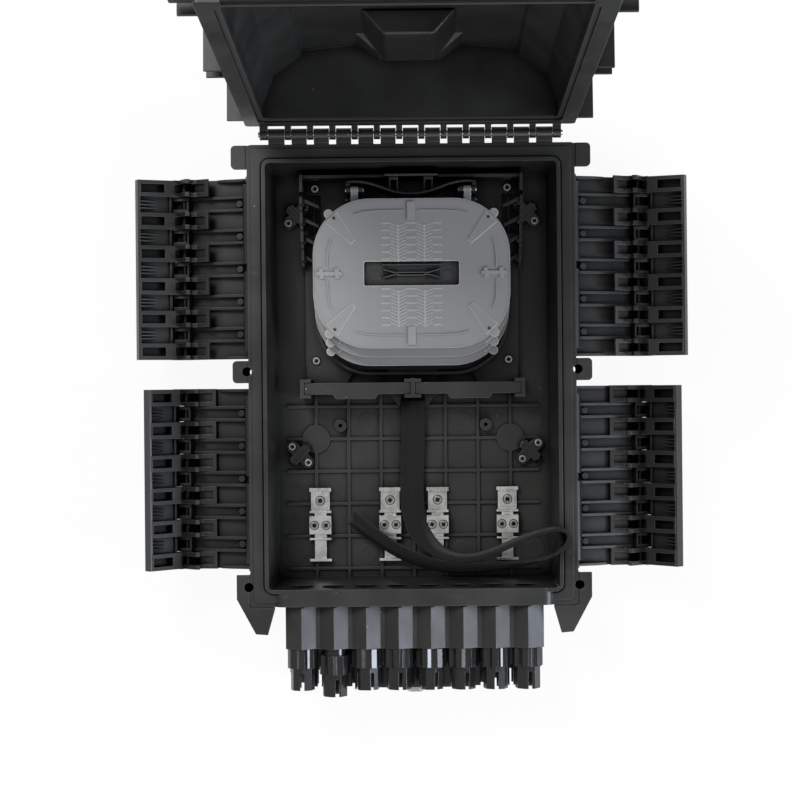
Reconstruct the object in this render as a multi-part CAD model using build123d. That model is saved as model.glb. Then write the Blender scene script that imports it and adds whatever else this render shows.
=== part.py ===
from build123d import *
from math import cos, pi, radians, sin
import os

# Fibre distribution box lying on its back with the lid and the four side latches open.
# Millimetres. X runs across the box, Y from the ports to the lid hinge, Z out of the back.
# The origin is the middle of the flat back face.

# Base tray
rim_z = 66.0
floor_t = 4.0
wall_t = 2.6
draft_deg = 3.0
cavity_w = 204.0
cavity_top_y = 149.0
cavity_end_y = -150.0
flange_w = 230.0
flange_top_y = 162.0
end_wall_y = -162.0
flange_t = 3.6
plateau_drop = 1.0
edge_step = 1.0
edge_step_w = 3.0
tongue_w = 2.6
tongue_h = 1.5
groove_w = 1.2
groove_depth = 1.4
end_flange_w = 198.0
end_flange_rise = 2.0
end_flange_r = 9.0
run_gap = 0.3

# Ears on both long sides
ear_x = 126.0
ear_t = 4.0
top_ear_y = (145.0, 161.5)
mid_ear_y = (-5.0, 10.6)
bolt_x = 116.0
mid_bolt_y = 3.0
low_bolt_y = -148.2
bolt_hole_r = 3.3
boss_r = 5.6

# Floor ribs, pads and standoffs
rib_pitch = 23.65
rib_w = 2.0
rib_h = 2.0
rib_first_y = -22.5
rib_rows = 6
pad_r = 10.0
standoff_x = 53.0
standoff_y = -36.5
standoff_r = 4.4
standoff_h = 6.0
standoff_hole_r = 1.5

# Lid hinge
hinge_y = 169.4
hinge_z = rim_z - 4.0
barrel_r = 4.0
hinge_pin_r = 2.0
pin_play = 0.05
hinge_pin_half = 106.8
window_pitch = 15.6
window_w = 5.1
window_count = 12
knuckle_gap = 0.4
base_barrel_end = 99.6
lid_barrel_end = 105.6
lid_open_deg = 94.0

# Lid shell
lid_depth = 54.0
lid_wall = 2.8
lid_flange_t = 4.4
lid_gap = 0.3
rail_bead_r = 3.0
bead_x = 121.0
bead_v = 29.0
rail_t = 3.0
gusset_t = 3.0
boss_len = 34.0
boss_depth = 11.0

# Side latches, drawn closed against the right side of the box
latch_half = 64.0
latch_y = (76.2, -73.0)
latch_shut_deg = 103.5
lever_slack_deg = (21.5, 0.0)
pin_one_x = 114.0
pin_one_z = rim_z - 10.0
pin_two_x = 126.0
pin_two_z = rim_z + 42.6
latch_pin_r = 2.0
arm_barrel_r = 4.0
arm_t = 3.0
knuckle_pitch = 22.9
lever_knuckle_w = 11.4
arm_knuckle_w = 9.8
knuckle_half = 5.0
jaw_r = 3.4
handle_len = 35.0
handle_t = 2.6
handle_deg = 149.0
lug_w = 5.0

# Port block
port_pitch = 22.7
port_r = port_pitch / (2 * cos(radians(30)))
port_row_z = (52.3, 52.3 - 1.5 * port_r, 52.3 - 3.0 * port_r)
block_end_y = -192.4
bore_r = 8.4
gland_r = 8.2
nut_r = 10.9
nut_len = 13.4
sleeve_len = 15.6
sleeve_r = 8.9
oval_w = 62.0
oval_h = 17.0
oval_z = 10.5
oval_end_y = -226.0

# Splice trays
tray_w = 139.0
tray_l = 105.6
tray_r = 40.0
tray_t = 8.0
tray_pitch = 12.0
tray_shift = 6.0
tray_count = 3
top_tray_z = 48.0
top_tray_y = 71.5
cover_t = 1.2
tray_pivot_y = 59.5
tray_pin_r = 1.5
tray_barrel_r = 2.8
tray_lug_x = 40.0
tray_lug_w = 5.0

# Tray holder
holder_x = 77.5
holder_y = (4.0, 143.0)
holder_z = floor_t + rib_h
holder_t = 3.0
holder_top_z = 52.0
holder_wall = 2.0
holder_screw_x = 70.0
holder_screw_y = 10.8

# Cable clamps and tie saddles
clamp_x = (-68.2, -17.3, 17.3, 68.2)
clamp_z = floor_t + rib_h
clamp_w = 16.0
clamp_top_y = -81.8
clamp_t = 1.6
saddle_places = ((-82.4, -57.3, -45.0), (85.2, -55.9, 45.0), (-83.6, 117.0, 45.0), (84.0, 117.4, -45.0))

# Strap
strap_w = 17.0
strap_t = 1.6


def block(x0, x1, y0, y1, z0, z1):
    return Pos((x0 + x1) / 2, (y0 + y1) / 2, (z0 + z1) / 2) * Box(x1 - x0, y1 - y0, z1 - z0)


def prism_y(points, y0, y1):
    """Solid with a profile drawn in X and Z, running along Y."""
    face = make_face(Polyline(*[(x, y0, z) for x, z in points], close=True))
    return extrude(face, amount=y1 - y0, dir=(0, 1, 0))


def prism_x(points, x0, x1):
    """Solid with a profile drawn in Y and Z, running along X."""
    face = make_face(Polyline(*[(x0, y, z) for y, z in points], close=True))
    return extrude(face, amount=x1 - x0, dir=(1, 0, 0))


def prism_z(points, z0, z1):
    """Solid with a profile drawn in X and Y, running along Z."""
    face = make_face(Polyline(*[(x, y, z0) for x, y in points], close=True))
    return extrude(face, amount=z1 - z0, dir=(0, 0, 1))


def rod_x(r, x0, x1, y, z):
    return Pos((x0 + x1) / 2, y, z) * Rot(0, 90, 0) * Cylinder(r, x1 - x0)


def rod_y(r, y0, y1, x, z):
    return Pos(x, (y0 + y1) / 2, z) * Rot(90, 0, 0) * Cylinder(r, y1 - y0)


def rod_z(r, z0, z1, x, y):
    return Pos(x, y, (z0 + z1) / 2) * Cylinder(r, z1 - z0)


def slab(w, l, r, x, y, z0, z1):
    """Plate with rounded corners."""
    return extrude(Pos(x, y, z0) * RectangleRounded(w, l, r), amount=z1 - z0)


def both_sides(shape):
    return [shape, mirror(shape, about=Plane.YZ)]


def save(name, shapes):
    if not isinstance(shapes, (list, tuple)):
        shapes = [shapes]
    solids = []
    for shape in shapes:
        solids.extend(shape.solids())
    export_step(solids[0] if len(solids) == 1 else Compound(children=solids), "parts/" + name + ".step")


# Base tray: one moulding with its rim, ears, hinge barrels, latch lugs and port block
def ring(outer_grow, inner_grow, z0, z1):
    """Band that follows the rim of the cavity, between two distances from its edge."""
    mid_y = (cavity_top_y + cavity_end_y) / 2
    length = cavity_top_y - cavity_end_y
    outer = slab(cavity_w + 2 * outer_grow, length + 2 * outer_grow, 3 + outer_grow, 0, mid_y, z0, z1)
    inner = slab(cavity_w + 2 * inner_grow, length + 2 * inner_grow, 3 + inner_grow, 0, mid_y, z0 - 1, z1 + 1)
    return outer - inner


def tub():
    mid_y = (cavity_top_y + cavity_end_y) / 2
    length = cavity_top_y - cavity_end_y
    depth = rim_z - floor_t
    mouth = Pos(0, mid_y, rim_z)
    outer = extrude(mouth * RectangleRounded(cavity_w + 2 * wall_t, length + 2 * wall_t, 5),
                    amount=-rim_z + plateau_drop, taper=draft_deg)
    outer = outer & block(-200, 200, -300, 300, 0, rim_z - plateau_drop)
    inner = extrude(mouth * RectangleRounded(cavity_w, length, 3), amount=-depth, taper=draft_deg)
    return outer, inner


def base_shell():
    outer, inner = tub()
    top = rim_z - plateau_drop
    flange_y = (flange_top_y + end_wall_y) / 2
    flange_l = flange_top_y - end_wall_y
    flange = slab(flange_w, flange_l, 3, 0, flange_y, top - flange_t, top)
    step = slab(flange_w - 2 * edge_step_w, flange_l - 2 * edge_step_w, 3, 0, flange_y, top - edge_step, top + 1)
    edge = slab(flange_w + 2, flange_l + 2, 3, 0, flange_y, top - edge_step, top + 1) - step
    end_wall = block(-cavity_w / 2 + 1, cavity_w / 2 - 1, end_wall_y + 1, cavity_end_y + 1, 0, top)
    end_plate = extrude(
        Plane.XZ.offset(-cavity_end_y) * Pos(0, (rim_z + end_flange_rise) / 2 + 1)
        * RectangleRounded(end_flange_w, rim_z + end_flange_rise - 2, end_flange_r),
        amount=cavity_end_y - end_wall_y)
    shell = outer + [flange, end_wall] + ears() + port_block() + lid_barrels() + latch_lugs()
    shell = shell - inner
    shell = shell - edge - ring(tongue_w + groove_w, tongue_w, top - groove_depth, top + 1)
    shell = shell + [ring(tongue_w, 0, top - 0.5, rim_z + tongue_h), end_plate] + floor_ribs()
    return shell - shell_holes()


def ears():
    parts = []
    top = rim_z - plateau_drop
    for y0, y1 in (top_ear_y, mid_ear_y):
        ear = slab(2 * ear_x, y1 - y0, 3, 0, (y0 + y1) / 2, top - ear_t, top)
        parts.append(ear)
        parts.append(block(-ear_x + 3, ear_x - 3, (y0 + y1) / 2 - 1, (y0 + y1) / 2 + 1, top - 20, top - 1))
    low = [(ear_x - 1.5, -139.7), (104, -139.7), (98, -158), (98, -164), (103, -181.7), (111.3, -181.0),
           (ear_x - 1.5, -156.5)]
    parts.extend(both_sides(prism_z(low, top - ear_t, top)))
    parts.extend(both_sides(rod_z(boss_r, 0, top - 1, bolt_x, mid_bolt_y)))
    parts.extend(both_sides(rod_z(boss_r, 0, top - 1, bolt_x, low_bolt_y)))
    for y in (mid_bolt_y, low_bolt_y):
        parts.append(block(-bolt_x, bolt_x, y - 1.5, y + 1.5, 0, 30))
    return parts


def floor_ribs():
    parts = []
    low, high = floor_t - 0.5, floor_t + rib_h
    half = rib_w / 2
    for i in range(-3, 4):
        x = i * rib_pitch
        parts.append(block(x - half, x + half, cavity_end_y + 1, 130, low, high))
    for j in range(rib_rows):
        y = rib_first_y - j * rib_pitch
        parts.append(block(-92, 92, y - half, y + half, low, high))
    pad_x = 3 * rib_pitch
    pad_y = rib_first_y - rib_pitch
    parts.extend(both_sides(rod_z(pad_r, low, high, pad_x, pad_y)))
    parts.extend(both_sides(rod_z(standoff_r, low, floor_t + standoff_h, standoff_x, standoff_y)))
    for x, y, turn in saddle_places:
        parts.append(Pos(x, y, 0) * Rot(0, 0, turn) * slab(24, 8.4, 4.1, 0, 0, low, high))
    return parts


def shell_holes():
    holes = []
    for y in (mid_bolt_y, low_bolt_y):
        holes.extend(both_sides(rod_z(bolt_hole_r, -1, rim_z + 2, bolt_x, y)))
    holes.extend(both_sides(rod_z(standoff_hole_r, floor_t, floor_t + standoff_h + 1, standoff_x, standoff_y)))
    for x, z in port_places():
        holes.append(rod_y(bore_r, block_end_y - 1, cavity_end_y + 1, x, z))
    holes.append(oval(oval_w - 6, oval_h - 6, oval_end_y - 1, cavity_end_y + 1))
    return holes


def port_places():
    places = [((i - 3.5) * port_pitch, port_row_z[0]) for i in range(8)]
    places += [((i - 3) * port_pitch, port_row_z[1]) for i in range(7)]
    places += [((i - 3.5) * port_pitch, port_row_z[2]) for i in (0, 1, 6, 7)]
    return places


def oval(w, h, y0, y1):
    return extrude(Plane.XZ.offset(-y1) * Pos(0, oval_z) * SlotOverall(w, h), amount=y1 - y0)


def port_block():
    """Honeycomb of sockets: its outline follows the corner-up hexagons of the outer cells."""
    half = port_r / 2
    web = 1.4
    crown = []
    for i in range(8):
        x = (i - 3.5) * port_pitch
        z = port_row_z[0]
        crown += [(x - port_pitch / 2 + web, z + half + web * 0.58), (x, z + port_r)]
        crown += [(x + port_pitch / 2 - web, z + half + web * 0.58)]
    side = 4 * port_pitch
    mid = 3.5 * port_pitch
    right = [(side, port_row_z[0] + half), (side, port_row_z[0] - half), (mid, port_row_z[1] + half),
             (mid, port_row_z[1] - half), (side, port_row_z[2] + half), (side, port_row_z[2] - half)]
    foot = [(3.5 * port_pitch, 1.0), (2 * port_pitch, 1.0)]
    outline = crown + right + foot
    outline += [(-x, z) for x, z in reversed(foot)] + [(-x, z) for x, z in reversed(right)]
    body = prism_y(outline, block_end_y, cavity_end_y + 0.5)
    return [body, oval(oval_w, oval_h, oval_end_y + 26, cavity_end_y + 0.5)]


# Lid hinge: base barrels stand on tabs, lid barrels sit in the windows between them
def window_centres():
    first = -(window_count - 1) / 2 * window_pitch
    return [first + i * window_pitch for i in range(window_count)]


def lid_barrels():
    edges = [-base_barrel_end]
    for x in window_centres():
        edges += [x - window_w / 2, x + window_w / 2]
    edges.append(base_barrel_end)
    parts = []
    for x0, x1 in zip(edges[0::2], edges[1::2]):
        tab = prism_x([(159, hinge_z - 1.4), (159, hinge_z + 2.4), (hinge_y, hinge_z + 3.2), (hinge_y, hinge_z - 3.2)],
                      x0, x1)
        parts += [tab + rod_x(barrel_r, x0, x1, hinge_y, hinge_z)]
    bore = rod_x(hinge_pin_r + pin_play, -120, 120, hinge_y, hinge_z)
    return [part - bore for part in parts]


def hinge_pin():
    return rod_x(hinge_pin_r, -hinge_pin_half, hinge_pin_half, hinge_y, hinge_z)


# Latch lugs hang under the long flanges and carry the four arm pins
def lug_places():
    return [-latch_half + lug_w / 2, 0, latch_half - lug_w / 2]


def latch_lugs():
    x, z = pin_one_x, pin_one_z
    top = rim_z - plateau_drop - 1
    profile = [(x - 11, top), (x - 11, z - 8), (x - 2.5, z - 3.5), (x + 1.5, z - 3.5), (x + 2.5, z), (x + 1.0, top)]
    parts = []
    for centre in latch_y:
        for place in lug_places():
            lug = prism_y(profile, centre + place - lug_w / 2, centre + place + lug_w / 2)
            lug = lug - rod_y(latch_pin_r + pin_play, centre - 80, centre + 80, x, z)
            parts.extend(both_sides(lug))
    return parts


def latch_base_pins():
    pins = []
    for centre in latch_y:
        pin = rod_y(latch_pin_r, centre - latch_half, centre + latch_half, pin_one_x, pin_one_z)
        pins.extend(both_sides(pin))
    return pins


# Latch arm: barrels, a crank round the flange, a ribbed plate and its five knuckles
def turned(shape, centre_deg):
    return shape.rotate(Axis((pin_one_x, 0, pin_one_z), (0, 1, 0)), centre_deg)


def knuckle_rows(count):
    return [(i - (count - 1) / 2) * knuckle_pitch for i in range(count)]


def latch_arm():
    x1, z1, x2, z2 = pin_one_x, pin_one_z, pin_two_x, pin_two_z
    face = x2
    plate_top = z2 - 8.0
    plate = [(x1 - 1.5, z1 - 6.5), (x1 + 6, z1 - 6.5), (face + arm_t, z1 + 1.5), (face + arm_t, plate_top),
             (face, plate_top), (face, z1 + 4.5), (x1 + 5.0, z1 - 3.3), (x1 - 1.5, z1 - 3.3)]
    parts = [prism_y(plate, -latch_half, latch_half)]
    inner = latch_half - lug_w - run_gap
    for y0, y1 in ((-inner, -lug_w / 2 - run_gap), (lug_w / 2 + run_gap, inner)):
        parts.append(rod_y(arm_barrel_r, y0, y1, x1, z1))
        parts.append(block(x1 - 1.5, x1 + 2.5, y0, y1, z1 - 6, z1 - 2.5))
    rib_top = z1 + 30.0
    rib = [(face - 4.4, z1 + 6.5), (face + 0.2, z1 + 2.5), (face + 0.2, rib_top + 3), (face - 2.0, rib_top),
           (face - 4.4, rib_top - 4)]
    half_b = arm_knuckle_w / 2
    for row in knuckle_rows(5):
        for y in (row - half_b, row + half_b - 1.8):
            parts.append(prism_y(rib, y, y + 1.8))
        cheek = [(face + arm_t, plate_top - 2), (x2 + 5.0, z2 - 3), (x2 + 5.0, z2 + 4.6), (x2 - 4.6, z2 + 4.6),
                 (x2 - 4.6, z2 - 4.6), (x2 - 1.4, z2 - 5.4), (face, plate_top - 2)]
        parts.append(prism_y(cheek, row - half_b, row + half_b))
    for y in (-latch_half, latch_half - 2.0):
        parts.append(prism_y(rib, y, y + 2.0))
    arm = parts[0] + parts[1:]
    arm = arm - rod_y(latch_pin_r + pin_play, -80, 80, x1, z1)
    for row in knuckle_rows(5):
        window = block(x2 - 6, x2 + 3.4, row - half_b + 1.5, row + half_b - 1.5, z2 - 3.2, z2 + 3.4)
        arm = arm - window
        arm = arm - rod_y(latch_pin_r + pin_play, row - half_b - 1, row + half_b + 1, x2, z2)
    for place in lug_places():
        arm = arm - block(x1 - 12, x1 + 18, place - lug_w / 2 - run_gap, place + lug_w / 2 + run_gap, z1 - 12, z1 + 9)
    return arm


def latch_lever():
    """Six knuckles, each with a hooked jaw on one side of the pin and the handle on the other."""
    x2, z2 = pin_two_x, pin_two_z
    bx, bz = bead_x, rim_z + bead_v
    arc = []
    for i in range(7):
        a = radians(62 + i * 20)
        arc.append((bx + jaw_r * cos(a), bz + jaw_r * sin(a)))
    jaw = [(x2 + 4.4, z2 - 1.5), (x2 + 1.0, z2 - 5.0), (x2 - 1.6, z2 - 8.6)] + arc
    jaw += [(bx - jaw_r - 0.1, bz - 1.2), (bx - jaw_r - 4.6, bz - 1.2), (bx - jaw_r - 5.6, bz + 2.4),
            (x2 - 11.5, z2 - 5.0), (x2 - 7.0, z2 + 1.5), (x2 - 4.2, z2 + 4.6), (x2 + 1.5, z2 + 5.2), (x2 + 4.6, z2 + 3.0)]
    d = radians(handle_deg)
    ux, uz = cos(d), sin(d)
    nx, nz = uz, -ux

    def along(a, n):
        return (x2 + a * ux + n * nx, z2 + a * uz + n * nz)

    # The handle's underside faces the lid when shut and the viewer when open.
    plate = [along(6.8, 1.6), along(handle_len, 1.6), along(handle_len, 1.6 + handle_t), along(6.8, 1.6 + handle_t)]
    parts = [prism_y(plate, -latch_half, latch_half)]
    half_a = lever_knuckle_w / 2
    neck = [along(1.0, 0.5), along(8.0, 0.5), along(8.0, 1.6 + handle_t), along(1.0, 4.6)]
    frame = [along(9.0, -2.0), along(handle_len, 0.2), along(handle_len, 2.0), along(9.0, 2.0)]
    fine = [along(9.5, 0.2), along(handle_len, 1.0), along(handle_len, 2.0), along(9.5, 2.0)]
    for row in knuckle_rows(6):
        parts.append(prism_y(jaw, row - half_a, row + half_a))
        parts.append(prism_y(neck, row - half_a, row + half_a))
        frame_box = prism_y(frame, row - half_a + 0.6, row + half_a - 0.6)
        pocket = [along(13.5, -6), along(handle_len - 1.6, -6), along(handle_len - 1.6, 1.6), along(13.5, 1.6)]
        parts.append(frame_box - prism_y(pocket, row - half_a + 2.2, row + half_a - 2.2))
    for row in knuckle_rows(5):
        for k in (-2.4, 0, 2.4):
            parts.append(prism_y(fine, row + k - 0.45, row + k + 0.45))
    lever = parts[0] + parts[1:]
    for row in knuckle_rows(6):
        window = block(x2 - 3.4, x2 + 2.9, row - half_a + 2.1, row + half_a - 2.1, z2 - 3.0, z2 + 8)
        lever = lever - window
        lever = lever - rod_y(latch_pin_r + pin_play, row - half_a - 1, row + half_a + 1, x2, z2)
    half_b = arm_knuckle_w / 2 + 0.7
    for row in knuckle_rows(5):
        lever = lever - rod_y(7.6, row - half_b, row + half_b, x2, z2)
    return lever


def latches():
    arm = latch_arm()
    lever = latch_lever()
    pin = rod_y(latch_pin_r, -latch_half + 0.5, latch_half - 0.5, pin_two_x, pin_two_z)
    for level, centre, slack in zip(("upper", "lower"), latch_y, lever_slack_deg):
        lever_axis = Axis((pin_two_x, 0, pin_two_z), (0, 1, 0))
        pieces = {"arm": arm, "lever": lever.rotate(lever_axis, slack), "pin": pin}
        for part, shape in pieces.items():
            placed = Pos(0, centre, 0) * turned(shape, latch_shut_deg)
            save("right_" + level + "_latch_" + part, placed)
            save("left_" + level + "_latch_" + part, mirror(placed, about=Plane.YZ))


# Lid, drawn shut on the base and then swung open about the hinge
def lid_section(grow):
    """Half section of the lid from rim to crown, as points from the rim outwards."""
    d = lid_depth + grow
    g = grow
    return [(102 + g, 0), (102 + g, 12), (94.2 + g, 33 + 0.3 * g), (76 + 0.7 * g, 46.6 + 0.8 * g),
            (74 + 0.6 * g, 50.4 + 0.8 * g), (36.5, d), (0, d)]


def lid_solid(grow, y0, y1, z0):
    half = lid_section(grow)
    points = [(x, z0 + v) for x, v in half]
    points += [(-x, z0 + v) for x, v in reversed(half[:-1])]
    return prism_y(points, y0, y1)


def lid_shell():
    z0 = rim_z + lid_gap
    y_low, y_high = end_wall_y, cavity_top_y
    outer = lid_solid(lid_wall, y_low - 1, y_high + lid_wall, z0)
    inner = lid_solid(0, y_low + lid_wall, y_high, z0)
    flange_l = flange_top_y - end_wall_y + 4
    flange = slab(flange_w, flange_l, 3, 0, flange_top_y - flange_l / 2, z0, z0 + lid_flange_t)
    skirt = ring(tongue_w + 6.0, tongue_w + 4.6, z0 + lid_flange_t - 1, z0 + lid_flange_t + 1.6)
    parts = [flange] + lid_rails(z0) + lid_tabs() + lid_ears(z0)
    lid = outer + parts
    lid = lid - inner
    lid = lid + lid_stiffener(z0)
    lid = lid - ring(tongue_w + 0.5, -0.4, z0 - 1, z0 + 3.4)
    lid = lid - end_notch(z0)
    lid = lid + skirt
    bore = rod_x(hinge_pin_r + pin_play, -120, 120, hinge_y, hinge_z)
    lid = lid - bore
    return lid


def end_notch(z0):
    """Room for the end plate, which stands a little above the rim."""
    h = end_flange_rise + 1.2
    return block(-end_flange_w / 2 - 1, end_flange_w / 2 + 1, end_wall_y - 12, cavity_end_y + 1, z0 - 1, z0 + h - 0.6)


def lid_stiffener(z0):
    """Recess in the crown, seen from inside as a raised trapezium."""
    top = z0 + lid_depth + lid_wall
    inside = z0 + lid_depth - boss_depth
    y1 = cavity_top_y - 0.1
    y0 = y1 - boss_len
    shoulder = [(-36.5, top - lid_wall), (-21, inside), (21, inside), (36.5, top - lid_wall)]
    body = prism_y(shoulder, y0, y1)
    slope = prism_x([(y0 - 1, inside - 1), (y0 + 14, inside - 1), (y0 - 1, top)], -40, 40)
    return [body - slope]


def lid_rails(z0):
    parts = []
    v = bead_v
    rail = [(94, z0 + v - 9), (101, z0 + v - 6), (bead_x + 1, z0 + v - 5.6), (bead_x + 3, z0 + v - 4),
            (bead_x + 3, z0 + v), (bead_x - 2.4, z0 + v), (bead_x - 3, z0 + v - 2.4), (94, z0 + v - 5.0)]
    for centre in latch_y:
        y0, y1 = centre - latch_half, centre + latch_half
        lip = prism_y(rail, y0 - gusset_t, y1 + gusset_t)
        bead = rod_y(rail_bead_r, y0 - gusset_t, y1 + gusset_t, bead_x, z0 - lid_gap + v)
        parts.extend(both_sides(lip + bead))
        side = [(98, z0), (ear_x, z0), (ear_x, z0 + v + 2), (92, z0 + v + 2), (94, z0 + v - 6), (100, z0 + 14)]
        for y in (y0 - gusset_t - 0.4, y1 + 0.4):
            parts.extend(both_sides(prism_y(side, y, y + gusset_t)))
    return parts


def lid_ears(z0):
    low = [(104, -150), (ear_x + 3, -150), (ear_x + 3, -160), (112, -166), (104, -166)]
    return both_sides(prism_z(low, z0 + 4, z0 + 9))


def lid_tabs():
    places = [(x - window_w / 2 + knuckle_gap, x + window_w / 2 - knuckle_gap) for x in window_centres()]
    ends = (base_barrel_end + knuckle_gap, lid_barrel_end)
    places += [ends, (-ends[1], -ends[0])]
    z0 = rim_z + lid_gap
    parts = []
    for x0, x1 in places:
        tab = prism_x([(159, z0 + 0.2), (159, z0 + lid_flange_t), (hinge_y - 1, z0 + lid_flange_t),
                       (hinge_y + barrel_r, hinge_z + 1), (hinge_y, hinge_z - 3), (hinge_y - 3.4, hinge_z),
                       (hinge_y - 4.4, z0 + 0.2)], x0, x1)
        parts.append(tab + rod_x(barrel_r, x0, x1, hinge_y, hinge_z))
    return parts


def swung(shape):
    return shape.rotate(Axis((0, hinge_y, hinge_z), (1, 0, 0)), -lid_open_deg)


def lid_gasket():
    z0 = rim_z + lid_gap
    return ring(tongue_w + 0.4, -0.3, z0 + tongue_h + 0.3, z0 + 3.3)


# Glands: threaded bodies with blind bungs, and the nuts with their slotted sleeves
def gland_bodies():
    return [rod_y(gland_r, block_end_y - 8.6, block_end_y + 12, x, z) for x, z in port_places()]


def nut_shape(angle, seat_y):
    points = []
    for i in range(12):
        a = 2 * pi * i / 12 + radians(angle)
        r = nut_r if i % 2 else nut_r - 0.2
        w = radians(11)
        inner = nut_r - 1.7
        if i % 2:
            points += [(r * cos(a - w), r * sin(a - w)), (r * cos(a + w), r * sin(a + w))]
        else:
            points += [(inner * cos(a - w / 2), inner * sin(a - w / 2)), (inner * cos(a + w / 2), inner * sin(a + w / 2))]
    body = prism_y(points, seat_y - nut_len, seat_y)
    end = seat_y - nut_len - sleeve_len
    ring_out = extrude(Plane.XZ.offset(-(seat_y - nut_len)) * Rot(0, 0, angle) * RegularPolygon(sleeve_r, 8), amount=sleeve_len)
    nut = body + ring_out
    nut = nut - rod_y(gland_r + 0.1, seat_y - 9.0, seat_y + 1, 0, 0)
    nut = nut - rod_y(sleeve_r - 2.2, end - 1, seat_y - 10.5, 0, 0)
    slot = block(-1.4, 1.4, end - 1, end + sleeve_len - 3.5, -12, 12)
    for turn in (0, 90):
        nut = nut - slot.rotate(Axis.Y, angle + turn)
    return nut


def gland_nuts():
    turns = (0, 14, 30, 8, 25, 18, 3, 11)
    rows = {0: [], 1: [], 2: []}
    for i, (x, z) in enumerate(port_places()):
        row = 0 if i < 8 else 1 if i < 15 else 2
        out = 4.6 if i == 1 else 0.0
        nut = nut_shape(turns[i % 8], block_end_y - 0.3 - out)
        rows[row].append(Pos(x, 0, z) * nut)
    save("upper_gland_nuts", rows[0])
    save("middle_gland_nuts", rows[1])
    save("lower_gland_nuts", rows[2])


def oval_clamp():
    """Rubber block of the oval port, its pressure plate and the hexagon bolt that squeezes it."""
    seal = oval(oval_w - 7, oval_h - 7, oval_end_y + 10, cavity_end_y - 30)
    seal = seal - rod_y(3.1, oval_end_y, cavity_end_y, 0, oval_z)
    save("oval_port_seal", seal)
    collar = oval(oval_w + 1, oval_h + 1, oval_end_y, oval_end_y + 25.7)
    collar = collar - oval(oval_w - 8, oval_h - 8, oval_end_y + 8, oval_end_y + 27)
    collar = collar - oval(oval_w - 6.6, oval_h - 6.6, oval_end_y + 9.6, oval_end_y + 27)
    collar = collar - rod_y(3.1, oval_end_y - 1, oval_end_y + 9, 0, oval_z)
    save("oval_port_collar", collar)
    head = extrude(Plane.XZ.offset(-oval_end_y) * Pos(0, oval_z) * RegularPolygon(5.6, 6), amount=4)
    save("oval_port_bolt", head + rod_y(3.0, oval_end_y - 1, oval_end_y + 40, 0, oval_z))


# Splice trays with clear covers, hinged one above the other on the holder
def tray_place(i):
    return top_tray_y - i * tray_shift, top_tray_z - i * tray_pitch


def tray_outline(y, grow):
    return Pos(0, y, 0) * RectangleRounded(tray_w + 2 * grow, tray_l + 2 * grow, tray_r + grow)


def tray_hinge(i):
    y, z = tray_place(i)
    return y + tray_pivot_y, z + 2.0


def splice_tray(i):
    y, z = tray_place(i)
    py, pz = tray_hinge(i)
    body = extrude(Pos(0, 0, z) * tray_outline(y, 0), amount=tray_t)
    body = body - extrude(Pos(0, 0, z + 1.4) * tray_outline(y, -1.6), amount=tray_t)
    parts = []
    for group in (-18.3, 25.6):
        for row in range(6):
            yy = y + group - 3.6 + (row - 2.5) * 4.55
            for x in (-17.0, 0, 17.0):
                parts.append(block(x - 4.6, x + 4.6, yy - 0.5, yy + 0.5, z + 1.2, z + 6.0))
    well = slab(69, 19, 2, 0, y, z - 1, z + 6.2) - slab(67, 17, 1.5, 0, y, z - 2, z + 8)
    parts.append(well & block(-40, 40, -200, 200, z, z + 6.2))
    for x in (-tray_lug_x, tray_lug_x):
        arm = prism_x([(y + 44, z), (y + 44, z + 4.6), (py, pz + tray_barrel_r), (py + 1.8, pz), (py, pz - tray_barrel_r),
                       (y + 48, z)], x - tray_lug_w / 2, x + tray_lug_w / 2)
        parts.append(arm + rod_x(tray_barrel_r, x - tray_lug_w / 2, x + tray_lug_w / 2, py, pz))
    for sx in (-1, 1):
        for sy in (-1, 1):
            parts.append(rod_z(3.2, z + 1, z + tray_t - 1.5, sx * 58.3, y + sy * 42.2))
    tray = body + parts
    tray = tray - slab(67, 17, 1.5, 0, y, z - 2, z + 12)
    return tray - rod_x(tray_pin_r + pin_play, -60, 60, py, pz)


def tray_cover(i):
    y, z = tray_place(i)
    low = z + tray_t
    cover = extrude(Pos(0, 0, low) * tray_outline(y, 0), amount=cover_t)
    parts = []
    for sx in (-1, 1):
        for sy in (-1, 1):
            parts.append(rod_z(3.2, low, low + cover_t, sx * 58.3, y + sy * 42.2))
            wedge = [(sx * 52.5, y + sy * 43.5), (sx * 60.5, y + sy * 36.0), (sx * 42.5, y + sy * 21.0),
                     (sx * 39.8, y + sy * 23.4)]
            if sx * sy < 0:
                wedge = wedge[::-1]
            parts.append(prism_z(wedge, low + cover_t - 0.3, low + cover_t + 0.6))
    cover = cover + parts
    return cover - slab(67, 17, 1.5, 0, y, z - 2, z + 12)


def tray_pins():
    pins = []
    for i in range(tray_count):
        py, pz = tray_hinge(i)
        for x in (-1, 1):
            x0, x1 = sorted((x * (tray_lug_x - 6.5), x * (tray_lug_x + 6.5)))
            pins.append(rod_x(tray_pin_r, x0, x1, py, pz))
    return pins


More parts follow.
